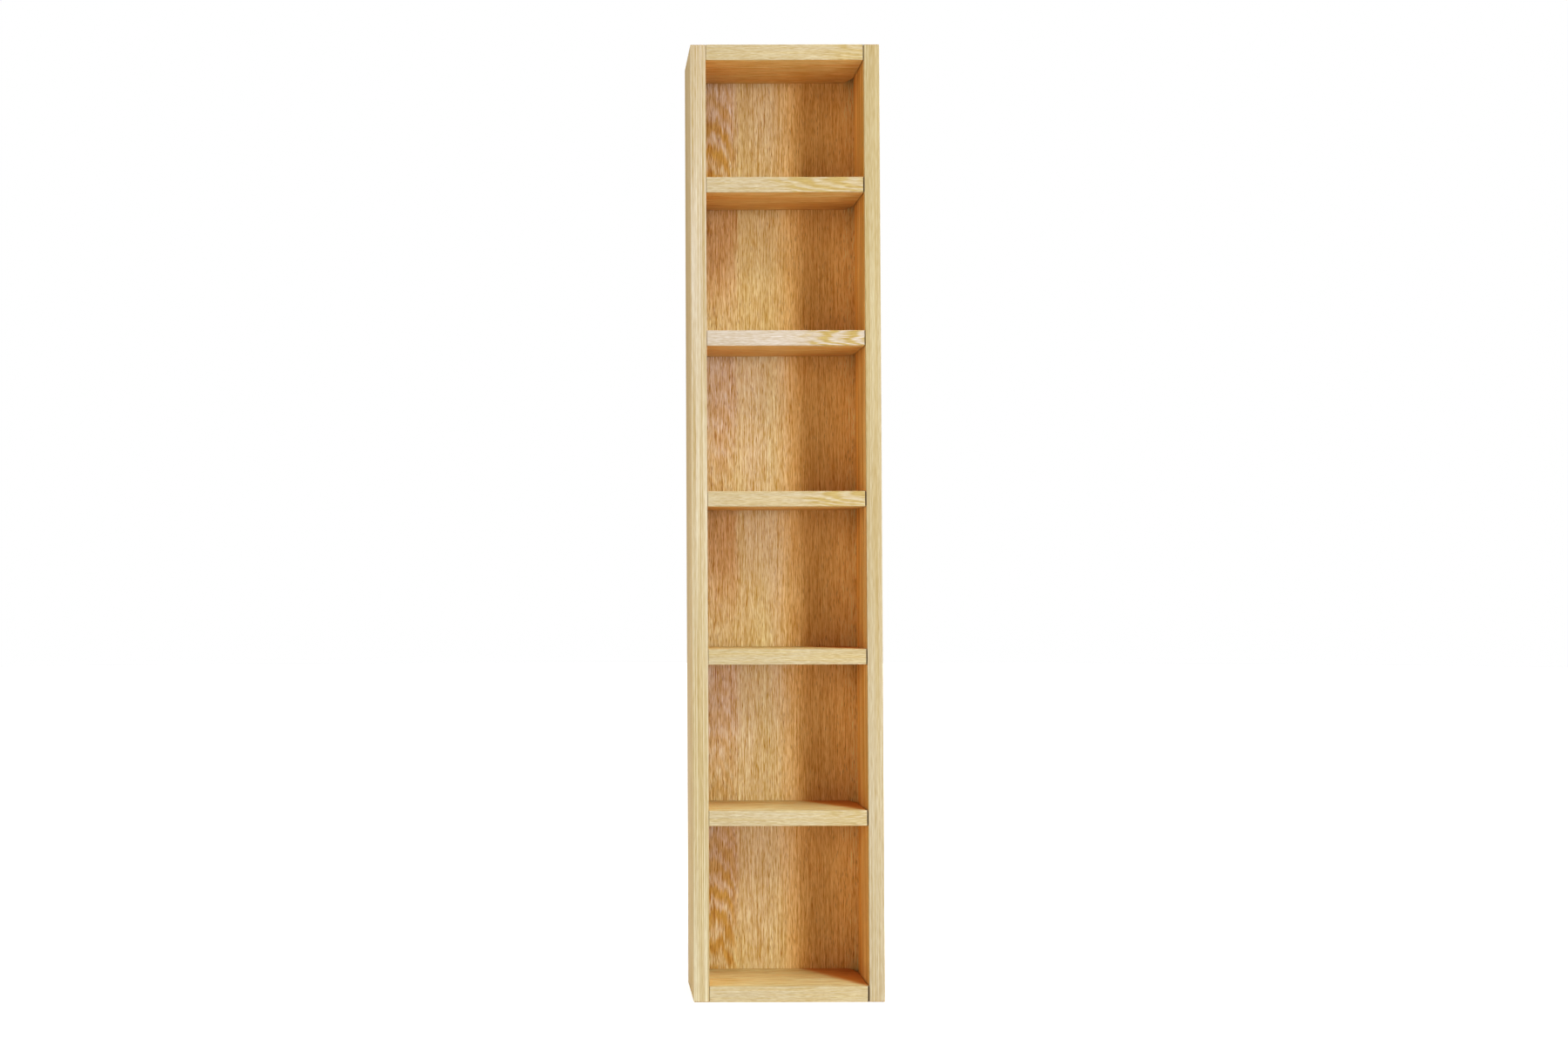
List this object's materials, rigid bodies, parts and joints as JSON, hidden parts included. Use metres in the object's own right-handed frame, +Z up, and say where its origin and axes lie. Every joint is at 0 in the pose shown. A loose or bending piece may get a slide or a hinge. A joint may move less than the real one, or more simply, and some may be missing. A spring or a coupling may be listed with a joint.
{
  "type": "open pantry shelf cabinet",
  "caption": "Tall narrow open-front oak pantry cabinet: fixed shelves between two full-height sides, closed by a full-height back panel.",
  "frame": {"origin": "centre of the base, in the plane that the cabinet stands on", "axes": "+X to the right as seen from the open front, -Y out of the open front, +Z up"},
  "size_m": [0.22, 0.13, 1.11],
  "materials": {
    "side_oak": "light natural oak, vertical grain, thin satin lacquer",
    "board_oak": "light natural oak, grain along the board, thin satin lacquer",
    "back_oak": "oak-veneered thin panel, vertical grain with wavy figure, satin lacquer",
    "dowel_beech": "plain fluted beech, unfinished",
    "screw_zinc": "bright zinc plate"
  },
  "bodies": {
    "root": {"left_side": "side_oak", "right_side": "side_oak", "bottom_board": "board_oak", "shelf_5": "board_oak", "shelf_4": "board_oak", "shelf_3": "board_oak", "shelf_2": "board_oak", "shelf_1": "board_oak", "top_board": "board_oak", "back_panel": "back_oak", "dowel_bottom_board_left_front": "dowel_beech", "dowel_bottom_board_left_rear": "dowel_beech", "dowel_bottom_board_right_front": "dowel_beech", "dowel_bottom_board_right_rear": "dowel_beech", "dowel_shelf_5_left_front": "dowel_beech", "dowel_shelf_5_left_rear": "dowel_beech", "dowel_shelf_5_right_front": "dowel_beech", "dowel_shelf_5_right_rear": "dowel_beech", "dowel_shelf_4_left_front": "dowel_beech", "dowel_shelf_4_left_rear": "dowel_beech", "dowel_shelf_4_right_front": "dowel_beech", "dowel_shelf_4_right_rear": "dowel_beech", "dowel_shelf_3_left_front": "dowel_beech", "dowel_shelf_3_left_rear": "dowel_beech", "dowel_shelf_3_right_front": "dowel_beech", "dowel_shelf_3_right_rear": "dowel_beech", "dowel_shelf_2_left_front": "dowel_beech", "dowel_shelf_2_left_rear": "dowel_beech", "dowel_shelf_2_right_front": "dowel_beech", "dowel_shelf_2_right_rear": "dowel_beech", "dowel_shelf_1_left_front": "dowel_beech", "dowel_shelf_1_left_rear": "dowel_beech", "dowel_shelf_1_right_front": "dowel_beech", "dowel_shelf_1_right_rear": "dowel_beech", "dowel_top_board_left_front": "dowel_beech", "dowel_top_board_left_rear": "dowel_beech", "dowel_top_board_right_front": "dowel_beech", "dowel_top_board_right_rear": "dowel_beech", "back_screw_bottom_board_left": "screw_zinc", "back_screw_bottom_board_right": "screw_zinc", "back_screw_shelf_5_left": "screw_zinc", "back_screw_shelf_5_right": "screw_zinc", "back_screw_shelf_4_left": "screw_zinc", "back_screw_shelf_4_right": "screw_zinc", "back_screw_shelf_3_left": "screw_zinc", "back_screw_shelf_3_right": "screw_zinc", "back_screw_shelf_2_left": "screw_zinc", "back_screw_shelf_2_right": "screw_zinc", "back_screw_shelf_1_left": "screw_zinc", "back_screw_shelf_1_right": "screw_zinc", "back_screw_top_board_left": "screw_zinc", "back_screw_top_board_right": "screw_zinc"}
  },
  "joints": []
}
